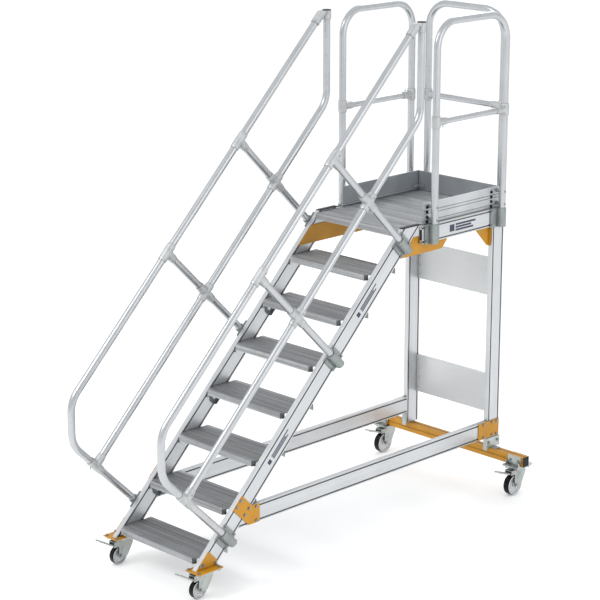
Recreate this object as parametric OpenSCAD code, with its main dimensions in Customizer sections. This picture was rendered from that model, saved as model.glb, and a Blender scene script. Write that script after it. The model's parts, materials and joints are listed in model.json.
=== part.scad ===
// Rolling warehouse stair: a 45 degree stair with seven treads, a guarded platform and four braked casters.
// X runs across the stair, Y from the foot towards the back, Z up. Origin: middle of the footprint, on the floor.

/* [Stair] */
// Height from one tread to the next, equal to the going
step_rise = 208; // [200:1:214]
// Clear width between the two stringers
inner_w = 600; // [560:10:680]
// Depth of a tread from nose to back edge
tread_depth = 225; // [215:1:235]
// Height of a tread's front nose
tread_h = 32; // [28:1:36]

/* [Frame profiles] */
// Thickness of the slotted frame profiles, across the stair
profile_t = 28; // [26:1:32]
// Width of the slotted frame profiles
profile_w = 100; // [96:1:104]
// Distance between the two slots of a profile
slot_spacing = 78; // [70:1:80]
// Height of the base rails' centre line above the floor
base_rail_z = 354; // [340:1:370]

/* [Platform] */
// Distance from the platform's nose to the back face of the frame
platform_depth = 890; // [860:1:930]
// Height of the toe boards
toe_board_h = 118; // [100:1:130]
// Height of the guard hoops' top centre line above the platform
guard_h = 1093; // [1050:1:1110]
// Height of the hoops' middle rails above the platform
mid_rail_h = 560; // [500:1:620]

/* [Handrails] */
// Outer diameter of the rails, posts and struts
rail_d = 40; // [38:0.5:41]
// Outer diameter of the hoops' middle rails
mid_rail_d = 35; // [30:0.5:36]
// Wall thickness of every tube
tube_wall = 2.5; // [2:0.5:4]
// Distance of the upper handrail from the line of the tread noses, square to it
handrail_h = 849; // [800:1:880]
// Distance of the knee rail from the line of the tread noses, square to it
knee_rail_h = 473; // [440:1:500]
// How far the handrails reach out in front of the first tread's nose
handrail_reach = 250; // [220:1:260]

/* [Undercarriage] */
// Length of the crossbeam, with its end caps
crossbeam_l = 1164; // [1150:2:1300]
// Diameter of the front wheels
front_wheel_d = 100; // [95:1:105]
// Diameter of the rear wheels
rear_wheel_d = 125; // [120:1:127]
// Distance of the rear casters from the stair's middle plane
rear_caster_x = 510; // [500:1:515]

/* [Hidden] */
steps = 7;
gap = 0.15;
seat = 0.05;
$fn = 48;

// Planes of the frame
inner_x = inner_w / 2;
outer_x = inner_x + profile_t;
mid_x = inner_x + profile_t / 2;
half_w = profile_w / 2;
half_slots = slot_spacing / 2;
platform_y = steps * step_rise;
platform_z = (steps + 1) * step_rise;
frame_back_y = platform_y + platform_depth;
beam_z = platform_z - half_w - 3;

// Distances along the stair (s) and square to it (h), both from the first tread's nose line
nose_overhang = 33;
root2 = sqrt(2);
stringer_h = (step_rise - nose_overhang) / root2 - half_w;
stringer_bottom_z = 155;
stringer_top_z = platform_z + 11;
beam_front_y = platform_y + 199;
strut_s = [1435, 2173];
lower_strut_s = 330;
base_plate_s = [460, 550];
base_plate_back = 425;
leg_plate_reach = 82;
plate_t = 4;

// Rails, posts and clamps
rail_r = rail_d / 2;
mid_rail_r = mid_rail_d / 2;
rail_x = outer_x + rail_r + 0.6;
bend_r = 150;
hoop_bend_r = 140;
casting_r = rail_r + 4.5;
post_y = platform_y + 144;
post_top_z = post_y + handrail_h * root2 - 25;
elbow_h = 48;
hoop_y = [platform_y + 272, platform_y + 844];
hoop_top_z = platform_z + guard_h;
mid_rail_z = platform_z + mid_rail_h;
rear_hoop_x = inner_x - 22;
rear_hoop_y = frame_back_y + rail_r + 0.6;
clamp_l = profile_w + 8;
clamp_flange_t = 6;
clamp_half_w = 50;
clamp_wide_half_w = 78;
clamp_narrow_half_w = 40;

// Tread and platform planks
plank_top = 4;
plank_wall = 3;
plank_nose = 16;
nose_plug = 26;

// Platform
toe_board_t = 8;
toe_board_y = [platform_y + 226, frame_back_y - 20 - toe_board_t];
toe_board_grooves = [17, 56, 72];
toe_board_groove = [3, 4];
toe_board_z = beam_z + half_w;
toe_board_top_z = toe_board_z + toe_board_h;
spacer_z = [platform_z + 23, platform_z + 94];
front_plank_d = 232;
rear_planks = 3;
plank_gap = 1.5;

// Legs and crossbeam
leg_y = frame_back_y - half_w;
crossbeam_d = 50;
crossbeam_h = 58;
crossbeam_z = 179;
crossbeam_y = leg_y - 2;
crossbeam_top_z = crossbeam_z + crossbeam_h;
cap_t = 4;

// Casters: [x, y of the swivel axis, wheel diameter, wheel width, height of the top plate, pedal angle]
caster_front = [mid_x, 44, front_wheel_d, 32, front_wheel_d + 50, 30];
caster_rear = [rear_caster_x, crossbeam_y + 11, rear_wheel_d, 38, rear_wheel_d + 45, 19];
trail = 38;
race_h = 8;
caster_plate_t = 6;
swivel_gap = 0.3;
crown_t = 5;
fork_gap = 3;
fork_t = 3;
fork_half_l = 46;
axle_r = 5;
kingpin_r = 6;
running_gap = 0.05;
pedal_reach = 70;
pedal_z = 10;
pedal_l = 118;
pedal_w = 38;
pedal_pin_r = 3;

// The footprint runs from the handrails' front bends to the back hoop's clamps
front_y = -handrail_reach - rail_r;
back_y = rear_hoop_y + casting_r;
centre_y = (front_y + back_y) / 2;

light = [0.80, 0.82, 0.84];
tread_grey = [0.55, 0.57, 0.59];
casting_grey = [0.62, 0.68, 0.68];
zinc = [0.72, 0.74, 0.76];
dark_zinc = [0.35, 0.38, 0.40];
orange = [0.80, 0.55, 0.15];
black = [0.08, 0.08, 0.09];
bolt_grey = [0.30, 0.31, 0.32];

CASTERS = ["front_left", "front_right", "rear_left", "rear_right"];

// [y, z] of the point at distance s along the stair and h square to it
function on_slope(s, h) = [(s - h) / root2, (s + h) / root2];
function unit(v) = v / norm(v);
function turn(a, b) = atan2(a[0] * b[1] - a[1] * b[0], a * b);

module in_place() {
    translate([0, -centre_y, 0]) children();
}

module both_sides() {
    children();
    mirror([1, 0, 0]) children();
}

module on_side(side) {
    mirror([side == "left" ? 1 : 0, 0, 0]) children();
}

// Local X and Y become Y and Z, and local Z becomes X, starting from plane x
module side_plane(x) {
    translate([x, 0, 0]) rotate([90, 0, 90]) children();
}

// Local X and Y become X and Z, at plane y, and local Z becomes -Y
module front_plane(y) {
    translate([0, y, 0]) rotate([90, 0, 0]) children();
}

// Local Z runs up the stair from distance s, and local -Y is square to it
module up_slope(x, s, h) {
    translate([x, on_slope(s, h)[0], on_slope(s, h)[1]]) rotate([-45, 0, 0]) children();
}

// A round bar from the origin along local X, with a bend after each run but the last
// Each run laps over its bends by a hair, and a bend is a hair thinner, so that the pieces fuse
module bent_bar(runs, turns, radius, d, i = 0) {
    lap = 1;
    thinner = 0.16;
    lead = i > 0 ? lap : 0;
    tail = i < len(turns) ? lap : 0;
    translate([-lead, 0, 0]) rotate([0, 90, 0]) cylinder(d = d, h = runs[i] + lead + tail);
    if (i < len(turns)) translate([runs[i], 0, 0]) {
        side = sign(turns[i]);
        mirror([0, side < 0 ? 1 : 0, 0]) translate([0, radius, 0]) rotate([0, 0, -90])
            rotate_extrude(angle = abs(turns[i])) translate([radius, 0]) circle(d = d - thinner);
        translate([0, side * radius, 0]) rotate([0, 0, turns[i]]) translate([0, -side * radius, 0])
            bent_bar(runs, turns, radius, d, i + 1);
    }
}

// A round bar along a line with rounded corners, in the local XY plane
module bar_path(points, radius, d) {
    last = len(points) - 1;
    dirs = [for (i = [0 : last - 1]) unit(points[i + 1] - points[i])];
    turns = [for (i = [1 : 1 : last - 1]) turn(dirs[i - 1], dirs[i])];
    trims = [0, for (t = turns) radius * tan(abs(t) / 2), 0];
    runs = [for (i = [0 : last - 1]) norm(points[i + 1] - points[i]) - trims[i] - trims[i + 1]];
    translate(points[0]) rotate([0, 0, atan2(dirs[0][1], dirs[0][0])]) bent_bar(runs, turns, radius, d);
}

module tube_path(points, radius, d) {
    difference() {
        bar_path(points, radius, d);
        bar_path(points, radius, d - 2 * tube_wall);
    }
}

// Cross-section of a frame profile, thickness along X and width along Y, with two undercut slots on each face
module profile_section() {
    mouth = 8;
    mouth_d = 3;
    undercut = 14;
    undercut_d = 4;
    chamber_wall = 4;
    difference() {
        square([profile_t, profile_w], center = true);
        square([profile_t - 2 * chamber_wall, slot_spacing - 22], center = true);
        for (y = [-half_slots, half_slots], side = [-1, 1]) {
            translate([side * (profile_t / 2 - mouth_d / 2), y]) square([mouth_d + 0.01, mouth], center = true);
            translate([side * (profile_t / 2 - mouth_d - undercut_d / 2), y])
                square([undercut_d, undercut], center = true);
        }
    }
}

module profile_along_y(x, z, y0, y1) {
    translate([x, y1, z]) rotate([90, 0, 0]) linear_extrude(y1 - y0) profile_section();
}

// A hexagon-head screw along local Z: the head stands on z = 0 and the shank goes down
module screw(d, shank) {
    head_h = 0.65 * d;
    washer_h = 1.5;
    cylinder(d = 2.1 * d, h = washer_h);
    translate([0, 0, washer_h]) cylinder(d = 1.9 * d, h = head_h, $fn = 6);
    translate([0, 0, -shank]) cylinder(d = d, h = shank);
}

module side_screw(x, y, z, d, shank) {
    translate([x, y, z]) rotate([0, 90, 0]) screw(d, shank);
}

// ---- Stair ----

module stringer(side) {
    color(light) in_place() on_side(side) intersection() {
        up_slope(mid_x, -200, stringer_h) linear_extrude(3000) profile_section();
        translate([inner_x - 1, -500, stringer_bottom_z])
            cube([profile_t + 2, 3000, stringer_top_z - cap_t - stringer_bottom_z]);
    }
}

// Side view of a tread plank: a ribbed top, a deep nose, a back flange and two stiffening webs
module plank_section(depth) {
    top_t = plank_top;
    wall = plank_wall;
    flat_nose = plank_nose;
    rib_pitch = 9.5;
    rib_w = 4.5;
    rib_d = 1.4;
    ribs = floor((depth - flat_nose - 10) / rib_pitch);
    difference() {
        translate([0, -tread_h]) square([depth, tread_h]);
        translate([wall, -tread_h + wall]) square([flat_nose, tread_h - wall - top_t]);
        translate([wall + flat_nose + wall, -tread_h - 1])
            square([depth - flat_nose - 3 * wall, tread_h - top_t + 1]);
        for (i = [0 : ribs - 1])
            translate([flat_nose + i * rib_pitch, -rib_d]) square([rib_pitch - rib_w, rib_d + 1]);
    }
    for (web = [0.4, 0.7]) translate([depth * web, -14]) square([wall, 14 - top_t + 0.5]);
}

// A plank across the stair, with its front edge at the local origin
module plank(depth) {
    side_plane(-inner_x + gap) linear_extrude(inner_w - 2 * gap) plank_section(depth);
}

// Solid ends inside a plank's hollow nose
module nose_plugs() {
    both_sides() translate([inner_x - gap - nose_plug, plank_wall - 1, -tread_h + plank_wall - 1])
        cube([nose_plug, plank_nose + 2, tread_h - plank_wall - plank_top + 2]);
}

// What a plank's two front corners lose
module corner_cut(chamfer) {
    both_sides() translate([inner_x, 0, -tread_h - 1]) linear_extrude(tread_h + 2)
        polygon([[-chamfer[0], -1], [1, chamfer[1]], [1, -1]]);
}

module step(i) {
    color(tread_grey) in_place() translate([0, (i - 1) * step_rise, i * step_rise]) difference() {
        union() {
            plank(tread_depth);
            nose_plugs();
        }
        corner_cut([22, 38]);
    }
}

// Straps under every second tread that carry its back edge
module step_braces() {
    outline = [[28, -34], [36, -80], [66, -104], [132, -42], [132, -34], [116, -34], [70, -80], [54, -68],
        [46, -34]];
    hole_at = [54, -80];
    flange_angle = atan(62 / 66);
    flange_l = 84;
    color(dark_zinc) in_place() both_sides() for (i = [2 : 2 : steps - 1])
        translate([0, (i - 1) * step_rise, i * step_rise]) difference() {
            union() {
                side_plane(inner_x - plate_t) linear_extrude(plate_t - gap) polygon(outline);
                translate([inner_x - 16, 66, -104]) rotate([flange_angle, 0, 0])
                    translate([0, 2, 0]) cube([13, flange_l, plate_t]);
            }
            side_plane(inner_x - 20) translate(hole_at) cylinder(d = 8.5, h = 30);
        }
}

// ---- Platform ----

module platform_deck() {
    rear_d = (toe_board_y[1] - platform_y - front_plank_d - rear_planks * plank_gap - 1) / rear_planks;
    color(tread_grey) in_place() translate([0, platform_y, platform_z]) difference() {
        union() {
            plank(front_plank_d);
            nose_plugs();
            for (i = [0 : rear_planks - 1])
                translate([0, front_plank_d + plank_gap + i * (rear_d + plank_gap), 0]) plank(rear_d);
        }
        corner_cut([12, 20]);
    }
}

module platform_beam(side) {
    color(light) in_place() on_side(side)
        profile_along_y(mid_x, beam_z, beam_front_y, frame_back_y);
}

module platform_beam_rear() {
    color(light) in_place()
        translate([-inner_x + gap, frame_back_y - profile_t / 2, beam_z]) rotate([90, 0, 90])
            linear_extrude(inner_w - 2 * gap) profile_section();
}

// Section of a toe board: outside grooves, and on the side boards a lip on the inside
module grooved_board() {
    difference() {
        square([toe_board_t, toe_board_h]);
        for (z = toe_board_grooves) translate([toe_board_t - toe_board_groove[0], z])
            square([toe_board_groove[0] + 1, toe_board_groove[1]]);
    }
}

module side_board_section() {
    lip = 5;
    lip_z = platform_z - toe_board_z + 8;
    grooved_board();
    translate([-lip, lip_z]) square([lip + 0.5, 4]);
}

module toe_boards() {
    corner_l = 50;
    corner_t = 3;
    corner_h = 16;
    corner_z = platform_z + 18;
    color(light) in_place() {
        both_sides() translate([inner_x, toe_board_y[1], toe_board_z]) rotate([90, 0, 0])
            linear_extrude(toe_board_y[1] - toe_board_y[0]) side_board_section();
        translate([-inner_x - toe_board_t, toe_board_y[1] + gap, toe_board_z]) rotate([90, 0, 90])
            linear_extrude(inner_w + 2 * toe_board_t) grooved_board();
        both_sides() translate([inner_x - gap, toe_board_y[1] - gap, corner_z]) rotate([0, 0, 180])
            linear_extrude(corner_h) difference() {
                square(corner_l);
                translate([corner_t, corner_t]) square(corner_l);
            }
    }
}

// ---- Base frame ----

module base_rail(side) {
    color(light) in_place() on_side(side) difference() {
        profile_along_y(mid_x, base_rail_z, 0, leg_y - half_w - gap);
        translate([inner_x - 1, 0, 0]) side_plane(0)
            linear_extrude(profile_t + 2) polygon([
                on_slope(0, stringer_h - half_w - gap),
                on_slope(1500, stringer_h - half_w - gap),
                on_slope(1500, stringer_h + 900),
                on_slope(0, stringer_h + 900),
            ]);
    }
}

module rear_leg(side) {
    color(light) in_place() on_side(side)
        translate([mid_x, leg_y, crossbeam_top_z + gap])
            linear_extrude(beam_z - half_w - crossbeam_top_z - 2 * gap) profile_section();
}

module crossbeam() {
    length = crossbeam_l - 2 * cap_t;
    wall = 4;
    groove = 9;
    color(orange) in_place() translate([-length / 2, crossbeam_y, crossbeam_z + crossbeam_h / 2])
        rotate([90, 0, 90]) linear_extrude(length) difference() {
            square([crossbeam_d, crossbeam_h], center = true);
            square([crossbeam_d - 22, crossbeam_h - 22], center = true);
            for (side = [-1, 1]) {
                translate([side * crossbeam_d / 2, 0]) square([wall * 2, groove], center = true);
                translate([0, side * crossbeam_h / 2]) square([groove, wall * 2], center = true);
            }
        }
}

// Two sheets between the legs, each with folded top and bottom edges
module rear_panels() {
    sheet_t = 2;
    fold = 18;
    panel_y = leg_y + half_w - 16;
    for (z = [[425, 655], [1127, 1351]])
        color(light) in_place() {
            translate([-inner_x + gap, panel_y, z[0]]) cube([inner_w - 2 * gap, sheet_t, z[1] - z[0]]);
            for (edge = [z[0], z[1] - sheet_t])
                translate([-inner_x + gap, panel_y + sheet_t - 0.5, edge])
                    cube([inner_w - 2 * gap, fold - sheet_t, sheet_t]);
        }
}

// Plates that join the base rails to the stringers and to the legs
module base_plates() {
    top = base_rail_z + half_w;
    bottom = base_rail_z - half_w;
    front_h = stringer_h + half_w;
    rear_h = stringer_h - half_w;
    back_edge = base_plate_back;
    color(orange) in_place() both_sides() {
        side_plane(outer_x + gap) linear_extrude(plate_t) polygon([
            on_slope(base_plate_s[0], front_h),
            on_slope(base_plate_s[1], front_h),
            on_slope(base_plate_s[1], rear_h),
            [back_edge, top],
            [back_edge, bottom],
            [base_plate_s[0] * root2 - bottom, bottom],
        ]);
        side_plane(outer_x + gap) linear_extrude(plate_t)
            translate([leg_y - half_w - leg_plate_reach, bottom])
                square([leg_plate_reach + profile_w - 2, profile_w]);
    }
}

// Plates inside the frame under the platform, and the gussets behind it
module platform_plates() {
    low_z = beam_z - half_w - 61;
    high_z = beam_z - 9;
    notch_z = beam_z - half_w - 21;
    front_offset = step_rise - nose_overhang - 5;
    gusset = [124, 112];
    flange_w = 18;
    leg_front = leg_y - half_w;
    under_beam = beam_z - half_w;
    color(orange) in_place() both_sides() {
        side_plane(inner_x - plate_t) linear_extrude(plate_t - gap) polygon([
            [low_z - front_offset, low_z],
            [high_z - front_offset, high_z],
            [platform_y + 434, high_z],
            [platform_y + 434, notch_z],
            [platform_y + 394, low_z],
        ]);
        side_plane(inner_x) linear_extrude(plate_t) polygon([
            [leg_front - gap, under_beam - gap],
            [leg_front - gusset[0], under_beam - gap],
            [leg_front - 16, under_beam - gusset[1]],
            [leg_front - gap, under_beam - gusset[1]],
        ]);
        translate([inner_x, leg_front - plate_t - gap, under_beam - gusset[1]])
            cube([flange_w, plate_t, gusset[1] - gap]);
    }
}

// Base plates that carry the front casters, with a gusset up each stringer
module front_caster_brackets() {
    plate_y = [-42, 126];
    plate_x = [mid_x - 42, mid_x + 64];
    gusset_y = [-20, 66, 124, 124];
    gusset_z = [stringer_bottom_z, 241, 180, stringer_bottom_z];
    color(orange) in_place() both_sides() {
        translate([plate_x[0], plate_y[0], stringer_bottom_z - 5 - gap])
            cube([plate_x[1] - plate_x[0], plate_y[1] - plate_y[0], 5]);
        side_plane(outer_x + gap) linear_extrude(plate_t)
            polygon([for (i = [0 : 3]) [gusset_y[i], gusset_z[i] - (i == 0 || i == 3 ? gap + 1 : 0)]]);
    }
}

// Silver plates that tie the legs and the rear casters to the crossbeam
module crossbeam_brackets() {
    strap_t = 4;
    strap_h = 62;
    wall_t = 5;
    rib = [3, 22, 26];
    leg_front = leg_y - half_w;
    beam_front = crossbeam_y - crossbeam_d / 2;
    beam_back = crossbeam_y + crossbeam_d / 2;
    adapter_x = [rear_caster_x - 55, rear_caster_x + 55];
    wall_x = [rear_caster_x - 39, adapter_x[1]];
    adapter_y = [caster_rear[1] - 70, caster_rear[1] + 70];
    adapter_z = [caster_rear[4] + gap, crossbeam_z - gap];
    color(zinc) in_place() both_sides() {
        translate([outer_x + gap, leg_front, crossbeam_top_z + gap]) cube([strap_t, profile_w + 8, strap_h]);
        translate([outer_x + gap, beam_front + 4, crossbeam_top_z + gap]) cube([44, crossbeam_d - 8, strap_t]);
        translate([inner_x + 3, leg_front - strap_t - gap, crossbeam_top_z - 12])
            cube([profile_t + 1 + gap, strap_t, strap_h + 12]);
        translate([adapter_x[0], adapter_y[0], adapter_z[0]])
            cube([adapter_x[1] - adapter_x[0], adapter_y[1] - adapter_y[0], adapter_z[1] - adapter_z[0]]);
        for (y = [beam_front - wall_t - gap, beam_back + gap])
            translate([wall_x[0], y, adapter_z[1] - 1]) cube([wall_x[1] - wall_x[0], wall_t, crossbeam_h + 1]);
        for (x = [wall_x[0], wall_x[1] - rib[0]])
            translate([x, beam_front - rib[1] - 2, adapter_z[1] - 1]) cube(rib);
    }
}

// ---- Handrails ----

upper_line = handrail_h * root2;
knee_line = knee_rail_h * root2;
strut_foot_h = stringer_h - clamp_l / 2;
front_corner_z = lower_strut_s * root2 + handrail_reach;
upper_end_y = post_y - rail_r - 32;

module handrail(side) {
    points = [
        on_slope(lower_strut_s, strut_foot_h),
        [-handrail_reach, front_corner_z],
        [-handrail_reach, upper_line - handrail_reach],
        [upper_end_y, upper_line + upper_end_y],
    ];
    color(light) in_place() on_side(side) side_plane(rail_x) tube_path(points, bend_r, rail_d);
}

// The knee rails run up the stair and turn upright beside the platform
module knee_rails() {
    points = [
        on_slope(lower_strut_s + rail_r + 1, knee_rail_h),
        [post_y, post_y + knee_line],
        [post_y, post_top_z - cap_t],
    ];
    color(light) in_place() both_sides() side_plane(rail_x) tube_path(points, bend_r, rail_d);
}

module rail_struts() {
    clear = rail_r + 1;
    color(light) in_place() both_sides() for (s = strut_s) {
        side_plane(rail_x)
            tube_path([on_slope(s, strut_foot_h), on_slope(s, knee_rail_h - clear)], bend_r, rail_d);
        side_plane(rail_x)
            tube_path([on_slope(s, knee_rail_h + clear), on_slope(s, handrail_h - clear)], bend_r, rail_d);
    }
}

// A sleeve along local X, centred, with slightly tapered ends
module sleeve(length, r) {
    taper = 10;
    rotate([0, 90, 0]) {
        translate([0, 0, -length / 2 + taper]) cylinder(r = r, h = length - 2 * taper);
        translate([0, 0, length / 2 - taper]) cylinder(r1 = r, r2 = r - 2, h = taper);
        translate([0, 0, -length / 2]) cylinder(r1 = r - 2, r2 = r, h = taper);
    }
}

// A socket that leaves the origin along local Y and narrows towards its mouth
module socket(length, r_root, r_mouth) {
    rotate([-90, 0, 0]) {
        cylinder(r = r_root, h = length - 20);
        translate([0, 0, length - 20]) cylinder(r1 = r_root, r2 = r_mouth, h = 20);
    }
}

// A joint round a through tube along local X, with sockets along local Y given as signs
module tee(signs, main_r, branch_r, main_l, branch_l) {
    difference() {
        union() {
            sleeve(main_l, main_r + 4.5);
            for (s = signs) mirror([0, s < 0 ? 1 : 0, 0]) socket(branch_l, branch_r + 4.5, branch_r + 2.5);
        }
        rotate([0, 90, 0]) cylinder(r = main_r + gap, h = main_l + 2, center = true);
        for (s = signs) rotate([s < 0 ? 90 : -90, 0, 0]) cylinder(r = branch_r + gap, h = branch_l + 1);
    }
}

module rail_tee(s, h, signs) {
    translate(on_slope(s, h)) rotate([0, 0, 45]) tee(signs, rail_r, rail_r, 104, 66);
}

module elbow() {
    reach = 78;
    difference() {
        union() {
            translate([post_y, post_top_z - cap_t - elbow_h]) rotate([-90, 0, 0])
                cylinder(r = casting_r, h = elbow_h);
            intersection() {
                translate([upper_end_y, upper_line + upper_end_y]) rotate([0, 0, 45])
                    translate([-reach + 20, 0]) rotate([0, 90, 0]) cylinder(r = casting_r, h = reach + 30);
                translate([0, 0, -50]) cube([post_y, post_top_z - cap_t, 100]);
            }
        }
        translate([post_y, 0]) rotate([-90, 0, 0]) cylinder(r = rail_r + gap, h = 4000);
        translate([upper_end_y, upper_line + upper_end_y]) rotate([0, 0, 45])
            rotate([0, -90, 0]) cylinder(r = rail_r + gap, h = 200);
        translate([upper_end_y, upper_line + upper_end_y]) rotate([0, 0, 45])
            rotate([0, 90, 0]) cylinder(r = rail_r + gap, h = 0.5);
    }
}

module rail_castings() {
    color(casting_grey) in_place() {
        both_sides() side_plane(rail_x) {
            for (s = strut_s) {
                rail_tee(s, handrail_h, [-1]);
                rail_tee(s, knee_rail_h, [-1, 1]);
            }
            translate(on_slope(lower_strut_s, knee_rail_h)) rotate([0, 0, 135])
                tee([-1], rail_r, rail_r, 104, 66);
            elbow();
        }
        both_sides() side_plane(rail_x) for (i = [0, 1])
            translate([hoop_y[i], mid_rail_z]) rotate([0, 0, 90])
                tee([i == 0 ? -1 : 1], rail_r, mid_rail_r, 66, 78);
        front_plane(rear_hoop_y) for (side = [-1, 1])
            translate([side * rear_hoop_x, mid_rail_z]) rotate([0, 0, 90])
                tee([side], rail_r, mid_rail_r, 66, 78);
    }
}

// A clamp on a profile's face: the face is local z = 0, the tube runs along local Y, the flange spreads along X
module clamp(left_w, right_w) {
    tube_z = rail_r + 0.6;
    difference() {
        union() {
            translate([-left_w, -clamp_l / 2, gap]) cube([left_w + right_w, clamp_l, clamp_flange_t - gap]);
            translate([0, -clamp_l / 2, tube_z]) rotate([-90, 0, 0]) cylinder(r = casting_r, h = clamp_l);
            translate([-casting_r, -clamp_l / 2, gap]) cube([2 * casting_r, clamp_l, tube_z - gap]);
        }
        translate([-casting_r - 1, -clamp_l / 2 - 1, gap - 20]) cube([2 * casting_r + 2, clamp_l + 2, 20]);
        translate([0, -clamp_l / 2 - 1, tube_z]) rotate([-90, 0, 0])
            cylinder(r = rail_r + gap, h = clamp_l + 2);
        for (x = clamp_screws(left_w, right_w), y = [-half_slots, half_slots])
            translate([x, y, -1]) cylinder(d = 6.6, h = clamp_flange_t + 2);
    }
}

function clamp_screws(left_w, right_w) = [9 - left_w, right_w - 9];

module clamp_bolts(left_w, right_w, shank = 10) {
    for (x = clamp_screws(left_w, right_w), y = [-half_slots, half_slots])
        translate([x, y, clamp_flange_t + seat]) screw(6, shank);
}

// Places a clamp on the outer face of a stringer, its tube square to the stair at distance s
module on_stringer(s) {
    side_plane(outer_x) translate(on_slope(s, stringer_h)) rotate([0, 0, 45]) children();
}

module rail_clamps() {
    color(casting_grey) in_place() both_sides()
        for (s = [lower_strut_s, strut_s[0], strut_s[1]]) on_stringer(s) clamp(clamp_half_w, clamp_half_w);
}

// Places a clamp on the outer face of a platform beam, its tube upright
module on_side_beam(y) {
    side_plane(outer_x) translate([y, beam_z]) children();
}

module on_rear_beam(side) {
    translate([side * rear_hoop_x, frame_back_y, beam_z]) rotate([90, 0, 180]) children();
}

// ---- Guard hoops ----

module hoop_path(a, b) {
    foot_z = beam_z - clamp_l / 2;
    tube_path([[a, foot_z], [a, hoop_top_z], [b, hoop_top_z], [b, foot_z]], hoop_bend_r, rail_d);
}

module hoop_side(side) {
    color(light) in_place() on_side(side) side_plane(rail_x) hoop_path(hoop_y[0], hoop_y[1]);
}

module hoop_rear() {
    color(light) in_place() front_plane(rear_hoop_y) hoop_path(-rear_hoop_x, rear_hoop_x);
}

module hoop_midrails() {
    clear = rail_r + 1;
    color(light) in_place() {
        both_sides() side_plane(rail_x)
            tube_path([[hoop_y[0] + clear, mid_rail_z], [hoop_y[1] - clear, mid_rail_z]], 1, mid_rail_d);
        front_plane(rear_hoop_y)
            tube_path([[-rear_hoop_x + clear, mid_rail_z], [rear_hoop_x - clear, mid_rail_z]], 1, mid_rail_d);
    }
}

// Clamps that hold the hoops' posts, and the spacers between the posts and the toe boards
module post_clamps() {
    spacer_r = 9;
    side_gap = rail_x - rail_r - inner_x - toe_board_t;
    rear_gap = rear_hoop_y - rail_r - toe_board_y[1] - toe_board_t;
    color(casting_grey) in_place() {
        both_sides() {
            on_side_beam(hoop_y[0]) clamp(clamp_half_w + 8, clamp_half_w + 8);
            on_side_beam(hoop_y[1]) clamp(clamp_wide_half_w, clamp_narrow_half_w);
            for (y = hoop_y, z = spacer_z) translate([inner_x + toe_board_t + gap, y, z]) rotate([0, 90, 0])
                cylinder(r = spacer_r, h = side_gap - 2 * gap);
            for (z = spacer_z) translate([rear_hoop_x, toe_board_y[1] + toe_board_t + 2 * gap, z])
                rotate([-90, 0, 0]) cylinder(r = spacer_r, h = rear_gap - 3 * gap);
        }
        on_rear_beam(1) clamp(clamp_narrow_half_w, clamp_wide_half_w);
        on_rear_beam(-1) clamp(clamp_wide_half_w, clamp_narrow_half_w);
    }
}

// ---- Caps and fasteners ----

module end_caps() {
    cut_y = [stringer_top_z - step_rise + nose_overhang, stringer_top_z - (stringer_h - half_w) * root2];
    color(black) in_place() both_sides() {
        translate([inner_x, cut_y[0] - 2, stringer_top_z - cap_t + gap])
            cube([profile_t, cut_y[1] - cut_y[0] + 4, cap_t]);
        translate([crossbeam_l / 2 - cap_t + gap, crossbeam_y - crossbeam_d / 2, crossbeam_z])
            cube([cap_t - gap, crossbeam_d, crossbeam_h]);
        translate([rail_x, post_y, post_top_z - cap_t + gap]) cylinder(r = casting_r, h = cap_t - gap);
    }
}

module frame_bolts() {
    d = 8;
    shank = 6;
    low_slot = base_rail_z - half_slots;
    high_slot = base_rail_z + half_slots;
    plate_x = outer_x + gap + plate_t + 2 * seat;
    color(bolt_grey) in_place() {
        both_sides() {
            for (s = [lower_strut_s, strut_s[0], strut_s[1]])
                on_stringer(s) clamp_bolts(clamp_half_w, clamp_half_w);
            on_side_beam(hoop_y[0]) clamp_bolts(clamp_half_w + 8, clamp_half_w + 8);
            on_side_beam(hoop_y[1]) clamp_bolts(clamp_wide_half_w, clamp_narrow_half_w);
            for (y = hoop_y, z = spacer_z) side_screw(rail_x + rail_r + 2 * seat, y, z, 5, seat);
            for (z = spacer_z) translate([rear_hoop_x, rear_hoop_y + rail_r + seat, z])
                rotate([-90, 0, 0]) cylinder(d1 = 10, d2 = 7, h = 4);
            for (y = [400, leg_y - half_w - 40, leg_y - 15, leg_y + 25], z = [low_slot, high_slot])
                side_screw(plate_x, y, z, d, seat);
            for (h = [-half_slots, half_slots], s = [485, 525])
                side_screw(plate_x, on_slope(s, stringer_h + h)[0], on_slope(s, stringer_h + h)[1], d, seat);
            for (y = [leg_y - half_slots, leg_y + half_slots])
                side_screw(plate_x, y, crossbeam_top_z + 36, d, seat);
            for (q = [[8, 176], [30, 176], [112, 166]]) side_screw(plate_x, q[0], q[1], d, seat);
            for (q = [[mid_x - 30, -28], [mid_x + 48, -28], [mid_x + 48, 108]])
                translate([q[0], q[1], stringer_bottom_z + 2 * seat]) screw(d, seat);
            for (x = [rear_caster_x - 20, rear_caster_x + 38])
                translate([x, crossbeam_y - crossbeam_d / 2 - 5 - gap - 2 * seat, crossbeam_z + crossbeam_h / 2])
                    rotate([90, 0, 0]) screw(d, seat);
            for (x = [rear_caster_x - 24, rear_caster_x + 42])
                translate([x, caster_rear[1] - 58, crossbeam_z + 2 * seat]) screw(d, seat);
        }
        on_rear_beam(1) clamp_bolts(clamp_narrow_half_w, clamp_wide_half_w, clamp_flange_t - gap);
        on_rear_beam(-1) clamp_bolts(clamp_wide_half_w, clamp_narrow_half_w, clamp_flange_t - gap);
        // Tread screws, heads on the stringers' inner faces
        both_sides() for (i = [1 : steps])
            translate([inner_x - 2 * seat, (i - 1) * step_rise + 15, i * step_rise - 46])
                rotate([0, -90, 0]) screw(6, seat);
    }
}

// ---- Casters ----

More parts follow.
